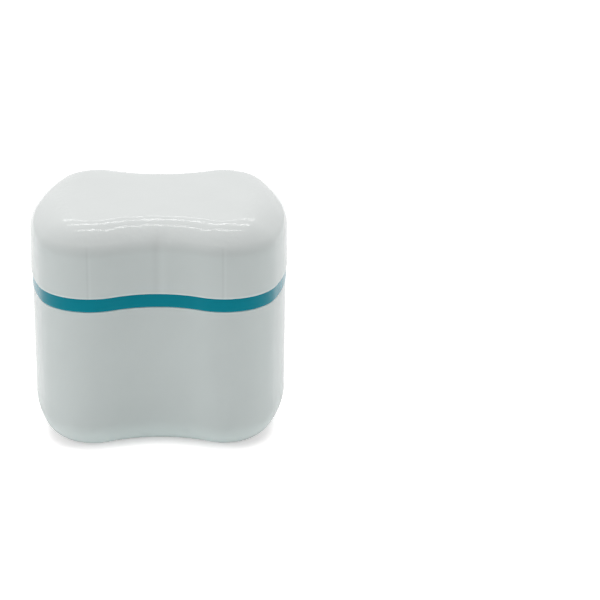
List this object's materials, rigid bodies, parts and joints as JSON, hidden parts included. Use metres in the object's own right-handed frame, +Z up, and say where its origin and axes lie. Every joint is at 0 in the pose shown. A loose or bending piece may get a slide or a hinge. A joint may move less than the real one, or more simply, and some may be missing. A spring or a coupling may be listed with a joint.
{
  "type": "denture case",
  "caption": "Waisted plastic case with a lift-off lid over a slotted strainer basket that hangs in an outer cup and shows as a coloured band.",
  "frame": {"origin": "on the surface that the closed case stands on, under the middle of its outline", "axes": "+X along the width, towards one gently curved end; +Y towards the waisted back; +Z up, the way the lid and the basket lift off"},
  "size_m": [0.0908, 0.0828, 0.081],
  "materials": {
    "white_shell": "glossy moulded plastic",
    "teal_basket": "glossy moulded plastic"
  },
  "bodies": {
    "base": {"base": "white_shell"},
    "basket": {"basket": "teal_basket"},
    "lid": {"lid": "white_shell"}
  },
  "joints": [
    {"name": "basket_lift", "type": "slide", "parent": "base", "child": "basket", "axis": [0, 0, 1], "range_m": [0, 0.06]},
    {"name": "lid_lift", "type": "slide", "parent": "basket", "child": "lid", "axis": [0, 0, 1], "range_m": [0, 0.05]}
  ]
}
